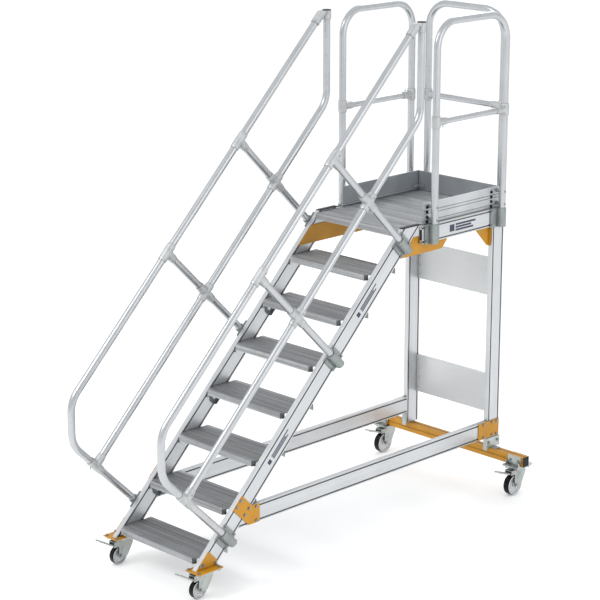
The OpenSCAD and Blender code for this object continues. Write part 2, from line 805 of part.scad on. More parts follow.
function caster(name) = name == "front_left" || name == "front_right" ? caster_front : caster_rear;
function crown_top(c) = c[4] - caster_plate_t - race_h - swivel_gap;
function leg_x(c) = c[3] / 2 + fork_gap;
function wheel_z(c) = c[2] / 2;

// Moves to a caster's swivel axis, at floor level
module at_caster(name) {
    c = caster(name);
    side = name == "front_left" || name == "rear_left" ? -1 : 1;
    in_place() translate([side * c[0], c[1], 0]) children();
}

// Top plate, ball race and kingpin of each caster
module caster_plates() {
    nut_h = 7;
    race_r = 36;
    color(zinc) for (name = CASTERS) {
        c = caster(name);
        front = c == caster_front;
        side = name == "front_left" || name == "rear_left" ? -1 : 1;
        shift = front ? side * 12 : 0;
        size = front ? [98, 156] : [104, 124];
        at_caster(name) {
            translate([shift - size[0] / 2, -size[1] / 2, c[4] - caster_plate_t - gap])
                cube([size[0], size[1], caster_plate_t]);
            translate([0, 0, crown_top(c) + swivel_gap]) cylinder(r = race_r, h = race_h + 1 - gap);
            translate([0, 0, crown_top(c) - crown_t - nut_h]) cylinder(r = kingpin_r, h = crown_t + nut_h + 5);
            translate([0, 0, crown_top(c) - crown_t - nut_h - swivel_gap])
                cylinder(d = 19, h = nut_h, $fn = 6);
        }
    }
}

// Side view of a fork leg, with y from the swivel axis
module leg_section(c) {
    d = c[2];
    boss_r = 13;
    top = crown_top(c) - 1;
    union() {
        polygon([
            [-pedal_reach - 10, top], [-pedal_reach - 10, d + 4], [-pedal_reach + 8, d + 4],
            [-fork_half_l - 2, d + 4], [-fork_half_l - 2, wheel_z(c)], [-trail, wheel_z(c) - boss_r],
            [8, wheel_z(c) - 8], [fork_half_l, d + 4], [fork_half_l, top],
        ]);
        translate([-trail, wheel_z(c)]) circle(r = boss_r);
    }
}

module fork(name) {
    c = caster(name);
    leg = leg_x(c);
    half = leg + fork_t;
    color(casting_grey) at_caster(name) difference() {
        union() {
            for (x = [-half, leg]) side_plane(x) linear_extrude(fork_t) leg_section(c);
            translate([-half, -pedal_reach - 10, crown_top(c) - crown_t])
                cube([2 * half, pedal_reach + 10 + fork_half_l, crown_t]);
            translate([0, 0, crown_top(c) - crown_t]) cylinder(r = 33, h = crown_t);
            side_plane(-half) translate([-pedal_reach, c[2] + pedal_z])
                cylinder(r = pedal_pin_r, h = 2 * half);
        }
        translate([0, 0, crown_top(c) - 20]) cylinder(r = kingpin_r + running_gap, h = 40);
        side_plane(-half - 1) translate([-trail, wheel_z(c)]) cylinder(r = axle_r + 0.1, h = 2 * half + 2);
    }
}

module axle(name) {
    c = caster(name);
    half = leg_x(c) + fork_t;
    color(bolt_grey) at_caster(name) side_plane(0) translate([-trail, wheel_z(c)]) {
        translate([0, 0, -half - 2]) cylinder(r = axle_r, h = 2 * half + 4);
        translate([0, 0, half + 0.1]) cylinder(d = 17, h = 6, $fn = 6);
        translate([0, 0, -half - 6.1]) cylinder(d = 17, h = 6, $fn = 6);
    }
}

module rim(name) {
    c = caster(name);
    r = wheel_z(c);
    half = c[3] / 2;
    tread = r * 0.1;
    hub_r = r * 0.28;
    dish = half * 0.45;
    color(zinc) at_caster(name) side_plane(0) translate([-trail, r]) rotate_extrude()
        polygon([
            [axle_r + running_gap, -half - 1], [hub_r, -half - 1], [hub_r, -half + dish],
            [r - tread - 8, -half + dish], [r - tread - 5, -half + 2], [r - tread, -half + 1],
            [r - tread, half - 1], [r - tread - 5, half - 2], [r - tread - 8, half - dish],
            [hub_r, half - dish], [hub_r, half + 1], [axle_r + running_gap, half + 1],
        ]);
}

module tyre(name) {
    c = caster(name);
    r = wheel_z(c);
    half = c[3] / 2;
    tread = r * 0.1 - gap;
    shoulder = 3;
    color(black) at_caster(name) side_plane(0) translate([-trail, r]) rotate_extrude()
        polygon([
            [r - tread, -half], [r - shoulder, -half], [r, -half + shoulder], [r, half - shoulder],
            [r - shoulder, half], [r - tread, half],
        ]);
}

module pedal(name) {
    c = caster(name);
    barrel_r = 6;
    half = leg_x(c) - 0.5;
    half_w = pedal_w / 2;
    lip = 6;
    lip_t = 2;
    plate = 1.5;
    neck = 13;
    color(casting_grey) at_caster(name) translate([0, -pedal_reach, c[2] + pedal_z]) difference() {
        union() {
            side_plane(-half) cylinder(r = barrel_r, h = 2 * half);
            rotate([-c[5], 0, 0]) {
                translate([1 - half_w, -neck - 7, -plate]) cube([2 * half_w - 2, neck + 6, 2 * plate]);
                translate([0, -neck, 0]) rotate([90, 0, 0]) linear_extrude(pedal_l - neck) polygon([
                    [-half_w, plate], [half_w, plate], [half_w, -lip], [half_w - lip_t, -lip],
                    [half_w - lip_t, -plate - 0.5], [lip_t - half_w, -plate - 0.5],
                    [lip_t - half_w, -lip], [-half_w, -lip],
                ]);
            }
        }
        side_plane(-half - 1) cylinder(r = pedal_pin_r + running_gap, h = 2 * half + 2);
    }
}

stringer("left");  // stringer_left
stringer("right");  // stringer_right
step(1);  // step_1
step(2);  // step_2
step(3);  // step_3
step(4);  // step_4
step(5);  // step_5
step(6);  // step_6
step(7);  // step_7
step_braces();
platform_deck();
platform_beam("left");  // platform_beam_left
platform_beam("right");  // platform_beam_right
platform_beam_rear();
toe_boards();
base_rail("left");  // base_rail_left
base_rail("right");  // base_rail_right
rear_leg("left");  // rear_leg_left
rear_leg("right");  // rear_leg_right
crossbeam();
rear_panels();
base_plates();
platform_plates();
front_caster_brackets();
crossbeam_brackets();
handrail("left");  // handrail_left
handrail("right");  // handrail_right
knee_rails();
rail_struts();
rail_castings();
rail_clamps();
hoop_side("left");  // hoop_left
hoop_side("right");  // hoop_right
hoop_rear();
hoop_midrails();
post_clamps();
end_caps();
frame_bolts();
caster_plates();
fork("front_left");  // front_left_fork
axle("front_left");  // front_left_axle
rim("front_left");  // front_left_rim
tyre("front_left");  // front_left_tyre
pedal("front_left");  // front_left_pedal
fork("front_right");  // front_right_fork
axle("front_right");  // front_right_axle
rim("front_right");  // front_right_rim
tyre("front_right");  // front_right_tyre
pedal("front_right");  // front_right_pedal
fork("rear_left");  // rear_left_fork
axle("rear_left");  // rear_left_axle
rim("rear_left");  // rear_left_rim
tyre("rear_left");  // rear_left_tyre
pedal("rear_left");  // rear_left_pedal
fork("rear_right");  // rear_right_fork
axle("rear_right");  // rear_right_axle
rim("rear_right");  // rear_right_rim
tyre("rear_right");  // rear_right_tyre
pedal("rear_right");  // rear_right_pedal
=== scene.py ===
"""Looks of the rolling warehouse stair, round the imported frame. Metres, +Z up, +Y to the back."""
import json
import math

import bmesh
import bpy
from mathutils import Matrix, Vector


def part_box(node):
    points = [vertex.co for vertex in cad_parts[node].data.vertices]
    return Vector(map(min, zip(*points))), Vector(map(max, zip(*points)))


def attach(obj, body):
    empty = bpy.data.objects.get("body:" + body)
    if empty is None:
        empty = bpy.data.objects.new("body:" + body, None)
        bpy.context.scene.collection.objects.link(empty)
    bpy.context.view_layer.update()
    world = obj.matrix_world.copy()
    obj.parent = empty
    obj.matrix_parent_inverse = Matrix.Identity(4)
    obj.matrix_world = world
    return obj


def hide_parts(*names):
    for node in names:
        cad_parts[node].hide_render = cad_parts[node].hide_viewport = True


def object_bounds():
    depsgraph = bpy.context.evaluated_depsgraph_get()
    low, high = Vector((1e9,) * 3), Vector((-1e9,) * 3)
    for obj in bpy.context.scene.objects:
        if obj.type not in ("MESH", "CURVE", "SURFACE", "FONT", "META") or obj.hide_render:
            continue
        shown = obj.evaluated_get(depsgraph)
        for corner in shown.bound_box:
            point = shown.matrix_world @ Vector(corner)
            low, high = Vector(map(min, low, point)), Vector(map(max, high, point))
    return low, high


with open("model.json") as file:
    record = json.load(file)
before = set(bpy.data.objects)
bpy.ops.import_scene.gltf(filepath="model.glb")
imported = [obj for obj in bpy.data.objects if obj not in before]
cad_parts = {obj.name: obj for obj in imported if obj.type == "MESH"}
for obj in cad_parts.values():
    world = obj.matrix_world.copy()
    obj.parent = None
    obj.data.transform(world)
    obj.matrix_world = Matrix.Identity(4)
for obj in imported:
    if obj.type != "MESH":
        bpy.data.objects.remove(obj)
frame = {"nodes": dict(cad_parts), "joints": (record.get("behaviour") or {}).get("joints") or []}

cad_low, cad_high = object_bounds()

# Camera: from the front right, a little above
CAMERA_AZIMUTH = 45.14
CAMERA_ELEVATION = 15.58
CAMERA_DISTANCE = 10.728
CAMERA_AIM = Vector((0.022, -0.009, -0.079))
CAMERA_LENS = 120.23
CAMERA_SHIFT = (-0.0058, -0.001)

CORNERS = ["front_left", "front_right", "rear_left", "rear_right"]
SLOPE = (math.radians(-45), 0, 0)
LEVEL = (0, 0, 0)
ALONG_X = (0.015, 1, 1)
ALONG_Y = (1, 0.015, 1)
ALONG_Z = (1, 1, 0.015)
ALONG_XY = (0.05, 0.05, 1)


# ---- Materials ----

class Recipe:
    """Builds one procedural material. Every pattern is worked out from the piece's own coordinates."""

    def __init__(self, name):
        self.material = bpy.data.materials.new(name)
        self.material.use_nodes = True
        self.tree = self.material.node_tree
        self.tree.nodes.clear()
        self.shader = self.add("BsdfPrincipled")
        output = self.add("OutputMaterial")
        self.tree.links.new(self.shader.outputs[0], output.inputs["Surface"])
        self.place = self.add("TexCoord").outputs["Object"]

    def add(self, kind, inputs=None, **settings):
        made = self.tree.nodes.new("ShaderNode" + kind)
        for key, value in settings.items():
            setattr(made, key, value)
        for key, value in (inputs or {}).items():
            self.put(made.inputs[key], value)
        return made

    def put(self, socket, value):
        if isinstance(value, bpy.types.NodeSocket):
            self.tree.links.new(value, socket)
        else:
            socket.default_value = value

    def set(self, **values):
        for key, value in values.items():
            self.put(self.shader.inputs[key.replace("_", " ")], value)
        return self.material

    def noise(self, scale, detail=3.0, stretch=(1, 1, 1), turn=LEVEL):
        turned = self.add("Mapping", {"Vector": self.place, "Rotation": turn})
        stretched = self.add("Mapping", {"Vector": turned.outputs[0], "Scale": stretch})
        made = self.add("TexNoise", {"Vector": stretched.outputs[0], "Scale": scale, "Detail": detail})
        return made.outputs["Fac"]

    def ranged(self, value, low, high, out_low=0.0, out_high=1.0):
        inputs = {"Value": value, "From Min": low, "From Max": high, "To Min": out_low, "To Max": out_high}
        return self.add("MapRange", inputs).outputs[0]

    def math(self, operation, first, second=0.0):
        return self.add("Math", {0: first, 1: second}, operation=operation).outputs[0]

    def mix(self, amount, first, second, blend_type="MIX"):
        inputs = {"Fac": amount, "Color1": first, "Color2": second}
        return self.add("MixRGB", inputs, blend_type=blend_type).outputs[0]

    def shade(self, colour, amount, low, high):
        """The colour, multiplied by grey from low to high as amount goes from 0 to 1."""
        grey = self.mix(amount, (low, low, low, 1), (high, high, high, 1))
        return self.mix(1.0, colour, grey, "MULTIPLY")

    def bump(self, height, distance, strength=1.0, normal=None):
        inputs = {"Height": height, "Distance": distance, "Strength": strength}
        if normal is not None:
            inputs["Normal"] = normal
        return self.add("Bump", inputs).outputs[0]

    def facing(self, direction):
        """How far the surface's own normal points along a direction of the frame, from -1 to 1."""
        normal = self.add("NewGeometry").outputs["Normal"]
        return self.add("VectorMath", {0: normal, 1: direction}, operation="DOT_PRODUCT").outputs["Value"]

    def edges(self, radius):
        """1 on outer and inner edges, 0 on flats."""
        rounded = self.add("Bevel", {"Radius": radius}, samples=4).outputs[0]
        normal = self.add("NewGeometry").outputs["Normal"]
        dot = self.add("VectorMath", {0: rounded, 1: normal}, operation="DOT_PRODUCT").outputs["Value"]
        return self.ranged(dot, 0.995, 0.9)

    def painted_shade(self, colour, reach=0.014, darkest=0.22):
        """The colour, with painted shade that darkens slots and corners narrower than reach."""
        open_sky = self.add("AmbientOcclusion", {"Distance": reach}, samples=6).outputs["AO"]
        return self.shade(colour, self.ranged(open_sky, 0.15, 0.9), darkest, 1.0)

    def up_from(self, spacing, start):
        """Height above the last multiple of spacing, counted from start."""
        z = self.add("SeparateXYZ", {0: self.place}).outputs["Z"]
        return self.math("FLOORED_MODULO", self.math("SUBTRACT", z, start), spacing)


def rgba(*colour):
    return (*colour, 1)


def extruded(name, turn, stretch, colour=(0.66, 0.675, 0.69), metallic=0.8, roughness=0.34):
    """Anodised aluminium with fine die lines along one direction, faint handling stains and painted shade in
    its slots and corners.
    """
    r = Recipe(name)
    lines = r.noise(900, 2.0, stretch, turn)
    bands = r.noise(60, 2.0, stretch, turn)
    stains = r.noise(5, 4.0)
    colour = r.shade(rgba(*colour), r.ranged(lines, 0.3, 0.7), 0.93, 1.03)
    colour = r.shade(colour, r.ranged(bands, 0.3, 0.7), 0.95, 1.02)
    colour = r.shade(colour, r.ranged(stains, 0.35, 0.6), 0.94, 1.0)
    # Painted shade in the slots and corners.
    colour = r.painted_shade(colour, 0.016, 0.12)
    rough = r.math("ADD", r.ranged(lines, 0.3, 0.7, roughness - 0.06, roughness + 0.06),
                   r.ranged(stains, 0.4, 0.7, 0.0, 0.07))
    return r.set(Base_Color=colour, Metallic=metallic, Roughness=rough,
                 Normal=r.bump(lines, 0.00006, 0.6))


def ribbed_tread():
    """Mill-finish treads: polished rib tops, grooves darkened with painted shade, and a nose made lighter
    with a painted highlight on the faces that look to the front.
    """
    r = Recipe("ribbed_tread")
    rise = step_top(2) - step_top(1)
    # Rib tops get a lighter polished colour; the grooves between them get a dark colour that is painted
    # shade.
    top = r.math("LESS_THAN", r.up_from(rise, step_top(1) - 0.0006), 0.0012)
    # Faces that look to the front get a lighter colour, a painted highlight.
    nose = r.ranged(r.facing((0, -1, 0)), 0.6, 0.9)
    lines = r.noise(700, 2.0, ALONG_X)
    worn_ribs = r.noise(75, 1.0, ALONG_X)
    scuffs = r.noise(22, 6.0, (1, 2.5, 1))
    dust = r.noise(4, 3.0)
    colour = r.mix(top, rgba(0.13, 0.134, 0.14), rgba(0.44, 0.45, 0.465))
    colour = r.mix(nose, colour, rgba(0.54, 0.55, 0.56))
    colour = r.shade(colour, r.ranged(lines, 0.3, 0.7), 0.90, 1.05)
    colour = r.shade(colour, r.ranged(worn_ribs, 0.35, 0.65), 0.76, 1.16)
    colour = r.shade(colour, r.ranged(scuffs, 0.35, 0.62), 0.86, 1.0)
    colour = r.shade(colour, r.ranged(dust, 0.35, 0.65), 0.94, 1.03)
    # Painted shade in the grooves and corners.
    colour = r.painted_shade(colour, 0.006, 0.4)
    rough = r.ranged(scuffs, 0.3, 0.7, 0.36, 0.58)
    return r.set(Base_Color=colour, Metallic=0.7, Roughness=rough, Normal=r.bump(lines, 0.00008, 0.7))


def toe_board():
    """Aluminium boards, light outside, with painted shade making the faces that look at the platform darker.
    """
    r = Recipe("toe_board")
    low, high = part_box("platform_deck")
    centre = (low + high) / 2
    x = r.math("SUBTRACT", r.add("SeparateXYZ", {0: r.place}).outputs["X"], centre.x)
    normal = r.add("SeparateXYZ", {0: r.add("NewGeometry").outputs["Normal"]})
    inward_x = r.math("MULTIPLY", normal.outputs["X"], r.math("MULTIPLY", r.math("SIGN", x), -1.0))
    at_side = r.math("GREATER_THAN", r.math("ABSOLUTE", x), high.x - 0.001)
    inward_y = r.math("MULTIPLY", normal.outputs["Y"], -1.0)
    inward = r.math("MAXIMUM", r.math("MULTIPLY", inward_x, at_side), inward_y)
    # Faces that look at the platform get a darker colour as painted shade.
    painted_inner_shade = r.ranged(inward, 0.5, 0.9)
    lines = r.noise(800, 2.0, ALONG_Z[::-1])
    stains = r.noise(7, 4.0)
    colour = r.mix(painted_inner_shade, rgba(0.58, 0.595, 0.61), rgba(0.43, 0.455, 0.48))
    colour = r.shade(colour, r.ranged(stains, 0.35, 0.65), 0.88, 1.04)
    # Painted shade in the grooves and corners.
    colour = r.painted_shade(colour, 0.01, 0.1)
    return r.set(Base_Color=colour, Metallic=0.55, Roughness=r.ranged(stains, 0.3, 0.7, 0.34, 0.46),
                 Normal=r.bump(lines, 0.00005, 0.5))


def powder_coat():
    """Orange powder coat: orange peel, thin bright wear on the edges and painted shade in the corners."""
    r = Recipe("orange_coat")
    peel = r.noise(420, 2.0)
    mottle = r.noise(9, 4.0)
    chips = r.math("GREATER_THAN", r.noise(160, 4.0), 0.56)
    worn = r.math("MULTIPLY", r.edges(0.0012), chips)
    colour = r.shade(rgba(0.56, 0.255, 0.006), r.ranged(mottle, 0.35, 0.65), 0.88, 1.06)
    colour = r.mix(worn, colour, rgba(0.62, 0.50, 0.34))
    # Painted shade in corners and creases.
    colour = r.painted_shade(colour, 0.012, 0.3)
    return r.set(Base_Color=colour, Metallic=0.0, Roughness=r.ranged(peel, 0.3, 0.7, 0.36, 0.5),
                 Normal=r.bump(peel, 0.00012, 0.7))


def cast_alloy(name="cast_alloy", colour=(0.34, 0.37, 0.365)):
    """Die-cast alloy: a fine pitted grain, with painted shade in the corners."""
    r = Recipe(name)
    grain = r.noise(1100, 3.0)
    pits = r.noise(340, 5.0)
    cloud = r.noise(30, 3.0)
    colour = r.shade(rgba(*colour), r.ranged(cloud, 0.35, 0.65), 0.86, 1.05)
    colour = r.shade(colour, r.ranged(pits, 0.36, 0.5), 0.82, 1.0)
    # Painted shade in the corners.
    colour = r.painted_shade(colour, 0.012, 0.3)
    height = r.math("ADD", grain, r.math("MULTIPLY", pits, 0.8))
    return r.set(Base_Color=colour, Metallic=0.65, Roughness=r.ranged(cloud, 0.3, 0.7, 0.38, 0.52),
                 Normal=r.bump(height, 0.00018, 0.7))


def zinc_plate(name="zinc_steel", colour=(0.55, 0.575, 0.57)):
    """Passivated zinc: spangled, with a faint yellow and blue cast and painted shade in the corners near its
    edges.
    """
    r = Recipe(name)
    spangle = r.add("TexVoronoi", {"Vector": r.place, "Scale": 260.0}).outputs["Distance"]
    cast = r.noise(35, 3.0)
    smear = r.noise(12, 5.0)
    tint = r.mix(r.ranged(cast, 0.35, 0.65), rgba(1.0, 0.97, 0.88), rgba(0.90, 0.97, 1.0))
    colour = r.mix(1.0, rgba(*colour), tint, "MULTIPLY")
    colour = r.shade(colour, r.ranged(smear, 0.35, 0.62), 0.78, 1.0)
    colour = r.shade(colour, r.edges(0.002), 1.0, 1.15)
    # Painted shade in the corners.
    colour = r.painted_shade(colour, 0.014, 0.25)
    return r.set(Base_Color=colour, Metallic=0.8, Roughness=r.ranged(smear, 0.3, 0.7, 0.42, 0.28),
                 Normal=r.bump(spangle, 0.00005, 0.4))


def painted_strap():
    """Dark satin paint, scuffed."""
    r = Recipe("dark_strap")
    scuffs = r.noise(40, 6.0, (1, 3, 1))
    colour = r.shade(rgba(0.15, 0.165, 0.175), r.ranged(scuffs, 0.35, 0.65), 0.8, 1.35)
    return r.set(Base_Color=colour, Metallic=0.2, Roughness=r.ranged(scuffs, 0.3, 0.7, 0.55, 0.38),
                 Normal=r.bump(r.noise(600, 2.0), 0.00006, 0.5))


def moulded(name, colour, roughness, grain=0.0001, metallic=0.0, shine=0.5):
    """Moulded plastic or rubber with a fine texture, grey dust in its scuffs and painted shade in its
    creases.
    """
    r = Recipe(name)
    texture = r.noise(900, 2.0)
    scuffs = r.noise(45, 7.0)
    dust = r.ranged(scuffs, 0.55, 0.72)
    pale = rgba(*[0.85 * c + 0.03 for c in colour])
    # The base colour takes painted shade in creases and corners.
    return r.set(Base_Color=r.painted_shade(r.mix(dust, rgba(*colour), pale), 0.008, 0.35), Metallic=metallic,
                 Specular_IOR_Level=shine,
                 Roughness=r.ranged(scuffs, 0.35, 0.7, roughness, roughness + 0.18),
                 Normal=r.bump(texture, grain, 0.5))


def dark_bolt():
    """Dark zinc bolts with brighter, worn corners."""
    r = Recipe("bolt_steel")
    smear = r.noise(180, 3.0)
    colour = r.shade(rgba(0.30, 0.305, 0.31), r.ranged(smear, 0.35, 0.65), 0.75, 1.2)
    colour = r.mix(r.edges(0.0008), colour, rgba(0.5, 0.5, 0.49))
    return r.set(Base_Color=colour, Metallic=0.85, Roughness=r.ranged(smear, 0.3, 0.7, 0.3, 0.45))


def sheet_metal():
    """Satin sheet with a faint rolled waviness."""
    r = Recipe("sheet_aluminium")
    rolled = r.noise(500, 2.0, ALONG_X)
    dents = r.noise(6, 2.0)
    colour = r.shade(rgba(0.66, 0.67, 0.67), r.ranged(rolled, 0.3, 0.7), 0.95, 1.02)
    wave = r.bump(dents, 0.002, 0.25)
    return r.set(Base_Color=colour, Metallic=0.55, Roughness=r.ranged(dents, 0.3, 0.7, 0.36, 0.46),
                 Normal=r.bump(rolled, 0.00005, 0.5, wave))


def printed_mark():
    """Plain dark bars and a square, with no lettering."""
    r = Recipe("printed_mark")
    smear = r.noise(60, 4.0)
    colour = r.shade(rgba(0.035, 0.038, 0.075), r.ranged(smear, 0.35, 0.65), 0.85, 1.15)
    return r.set(Base_Color=colour, Metallic=0.0, Roughness=r.ranged(smear, 0.3, 0.7, 0.3, 0.42))


def floor_paper():
    """Matt white paper that glows a little, so that it stays white under soft light."""
    r = Recipe("floor_paper")
    weave = r.noise(40, 3.0)
    return r.set(Base_Color=r.shade(rgba(0.90, 0.90, 0.90), r.ranged(weave, 0.3, 0.7), 0.985, 1.0),
                 Emission_Color=rgba(1, 1, 1), Emission_Strength=0.27,
                 Metallic=0.0, Roughness=r.ranged(weave, 0.3, 0.7, 0.7, 0.8))


# ---- Mesh helpers ----

def step_top(number):
    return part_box(f"step_{number}")[1].z


def finish_piece(name, mesh, material, body):
    piece = bpy.data.objects.new(name, mesh)
    bpy.context.scene.collection.objects.link(piece)
    mesh.materials.clear()
    mesh.materials.append(material)
    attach(piece, body)
    return piece


def smooth_shaded(mesh, angle=35):
    for face in mesh.polygons:
        face.use_smooth = True
    mesh.set_sharp_from_angle(angle=math.radians(angle))


def mesh_from(bm, name, angle=35):
    bmesh.ops.recalc_face_normals(bm, faces=bm.faces)
    mesh = bpy.data.meshes.new(name)
    bm.to_mesh(mesh)
    bm.free()
    smooth_shaded(mesh, angle)
    return mesh


def weighted(piece):
    """Keeps wide flats flat beside their rounded edges."""
    modifier = piece.modifiers.new("flats", "WEIGHTED_NORMAL")
    modifier.keep_sharp = True


def rounded_copy(node, width, material, body="frame", segments=2):
    """The CAD node with its edges rounded, in place of the plain one."""
    bm = bmesh.new()
    bm.from_mesh(frame["nodes"][node].data)
    bmesh.ops.remove_doubles(bm, verts=bm.verts, dist=0.00002)
    bmesh.ops.dissolve_limit(bm, angle_limit=math.radians(0.5), verts=bm.verts, edges=bm.edges)
    limit = math.radians(32)
    sharp = [e for e in bm.edges if e.is_manifold and e.calc_face_angle(0) > limit]
    bmesh.ops.bevel(bm, geom=sharp, offset=width, segments=segments, profile=0.5, affect="EDGES",
                    clamp_overlap=True)
    piece = finish_piece(node + "_shaped", mesh_from(bm, node + "_shaped", 40), material, body)
    weighted(piece)
    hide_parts(node)
    return piece


def islands(node):
    """The boxes of a CAD node's separate solids."""
    bm = bmesh.new()
    bm.from_mesh(frame["nodes"][node].data)
    bmesh.ops.remove_doubles(bm, verts=bm.verts, dist=0.00002)
    left = set(bm.verts)
    boxes = []
    while left:
        stack = [left.pop()]
        found = list(stack)
        while stack:
            for edge in stack.pop().link_edges:
                for vert in edge.verts:
                    if vert in left:
                        left.remove(vert)
                        stack.append(vert)
                        found.append(vert)
        low = Vector([min(v.co[i] for v in found) for i in range(3)])
        high = Vector([max(v.co[i] for v in found) for i in range(3)])
        boxes.append((low, high))
    bm.free()
    return sorted(boxes, key=lambda pair: tuple(round(c, 4) for c in pair[0]))


def lathe(bm, outline, matrix, segments=96):
    """Turns a closed outline of (radius, height) points round local Z."""
    rings = []
    for k in range(segments):
        angle = 2 * math.pi * k / segments
        spoke = [matrix @ Vector((r * math.cos(angle), r * math.sin(angle), h)) for r, h in outline]
        rings.append([bm.verts.new(point) for point in spoke])
    for k in range(segments):
        near, far = rings[k], rings[(k + 1) % segments]
        for i in range(len(outline)):
            j = (i + 1) % len(outline)
            bm.faces.new((near[i], near[j], far[j], far[i]))


def prism(bm, outline, height, matrix):
    """A flat outline with its top edge chamfered, raised along local Z."""
    chamfer = min(0.25 * height, 0.0006)
    centre = sum((Vector((*p, 0)) for p in outline), Vector()) / len(outline)
    loops = []
    for level, inset in ((0, 0), (height - chamfer, 0), (height, chamfer)):
        points = []
        for p in outline:
            spot = Vector((*p, 0))
            spot -= (spot - centre).normalized() * inset
            points.append(bm.verts.new(matrix @ Vector((spot.x, spot.y, level))))
        loops.append(points)
    count = len(outline)
    for low, high in zip(loops, loops[1:]):
        for i in range(count):
            j = (i + 1) % count
            bm.faces.new((low[i], low[j], high[j], high[i]))
    bm.faces.new(loops[-1])
    bm.faces.new(list(reversed(loops[0])))


def frame_of(origin, z_axis, x_axis=None):
    """A matrix whose local Z points along z_axis."""
    z = Vector(z_axis).normalized()
    x = Vector(x_axis or ((1, 0, 0) if abs(z.x) < 0.9 else (0, 1, 0)))
    x = (x - z * x.dot(z)).normalized()
    y = z.cross(x)
    matrix = Matrix((x, y, z)).transposed().to_4x4()
    matrix.translation = Vector(origin)
    return matrix


def circle(radius, count):
    angles = [2 * math.pi * i / count for i in range(count)]
    return [(radius * math.cos(angle), radius * math.sin(angle)) for angle in angles]


def rectangle(width, height, corner=0.002, steps=4):
    """A rectangle with rounded corners, anticlockwise."""
    points = []
    for quarter, (sx, sy) in enumerate(((1, 1), (-1, 1), (-1, -1), (1, -1))):
        for i in range(steps + 1):
            angle = math.pi / 2 * (quarter + i / steps)
            points.append((sx * (width / 2 - corner) + corner * math.cos(angle),
                           sy * (height / 2 - corner) + corner * math.sin(angle)))
    return points


# ---- Screws and small fittings ----

def socket_screw(bm, matrix, radius, height):
    """A domed head with a round socket, standing on local z = 0."""
    rim = radius * 0.82
    socket = radius * 0.45
    depth = height * 0.6
    pole = 0.0002
    outline = [(pole, 0), (radius, 0), (radius, height * 0.5), (rim, height * 0.93), (socket * 1.15, height),
               (socket, height - depth * 0.1), (socket, height - depth), (pole, height - depth)]
    lathe(bm, outline, matrix, 24)


def screws_on_castings(material):
    """Grub screws that lock each casting on its tube, on the side that looks away from the stair."""
    radius = 0.0042
    height = 0.0022
    sunk = 0.0006
    rear_sunk = 0.0024
    upright = Vector((0, 0, 0.022))
    sloping = Vector((0, 1, 1)).normalized() * 0.03
    bm = bmesh.new()
    for low, high in islands("rail_castings"):
        centre = (low + high) / 2
        size = high - low
        on_rear_hoop = size.y < 0.06
        if on_rear_hoop:
            outward = Vector((0, 1, 0))
            middle = Vector((centre.x, high.y - rear_sunk, centre.z))
        else:
            side = 1 if centre.x > 0 else -1
            outward = Vector((side, 0, 0))
            middle = Vector((high.x if side > 0 else low.x, centre.y, centre.z)) - outward * sunk
        on_slope = not on_rear_hoop and size.y > 0.09 and size.z > 0.09
        along = sloping if on_slope else upright
        for sign in (-1, 1):
            socket_screw(bm, frame_of(middle + along * sign, outward), radius, height)
    return finish_piece("casting_screws", mesh_from(bm, "casting_screws"), material, "frame")


def rivets_on_panels(material):
    """Flat rivets down the ends of the two rear sheets."""
    from_end = 0.016
    from_top = 0.03
    rows = 4
    bm = bmesh.new()
    for low, high in islands("rear_panels"):
        pitch = (high.z - low.z - 2 * from_top) / (rows - 1)
        for x in (low.x + from_end, high.x - from_end):
            for k in range(rows):
                spot = Vector((x, low.y + 0.0002, low.z + from_top + k * pitch))
                socket_screw(bm, frame_of(spot, (0, -1, 0)), 0.0048, 0.0018)
    return finish_piece("panel_rivets", mesh_from(bm, "panel_rivets"), material, "frame")


def hexagon_on_washer(bm, base, washer, washer_t, hexagon_h):
    """A hexagon head or nut that stands on a washer with the given outline."""
    prism(bm, washer, washer_t, base)
    prism(bm, circle(0.0068, 6), hexagon_h, base @ Matrix.Translation((0, 0, washer_t)))


def board_shade_bolts(material):
    """A column of near-black bolts at both ends of each side toe board, on its outer face: dark shapes that
    stand in for the shade cast behind the rail posts.
    """
    low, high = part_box("toe_boards")
    from_front = 0.030
    from_back = 0.075
    sunk = 0.0003
    column = [low.z + share * (high.z - low.z) for share in (0.1, 0.33, 0.56, 0.79)]
    bm = bmesh.new()
    for side, face in ((-1, low.x), (1, high.x)):
        for y in (low.y + from_front, high.y - from_back):
            for z in column:
                base = frame_of(Vector((face - side * sunk, y, z)), (side, 0, 0))
                hexagon_on_washer(bm, base, circle(0.0088, 24), 0.0016, 0.0060)
    return finish_piece("board_shade_bolts", mesh_from(bm, "board_shade_bolts"), material, "frame")


def caster_bolts(material):
    """A hexagon nut and washer under each corner of the casters' top plates."""
    plate_t = 0.006
    washer_t = 0.0014
    nut_h = 0.0065
    narrowest_plate = 0.08
    bm = bmesh.new()
    for low, high in islands("caster_plates"):
        if high.x - low.x < narrowest_plate:
            continue
        for x in (low.x + 0.012, high.x - 0.012):
            for y in (low.y + 0.014, high.y - 0.014):
                base = frame_of(Vector((x, y, high.z - plate_t)), (0, 0, -1))
                hexagon_on_washer(bm, base, circle(0.0085, 32), washer_t, nut_h)
                prism(bm, circle(0.0036, 16), 0.0025, base @ Matrix.Translation((0, 0, washer_t + nut_h)))
    return finish_piece("caster_bolts", mesh_from(bm, "caster_bolts"), material, "frame")


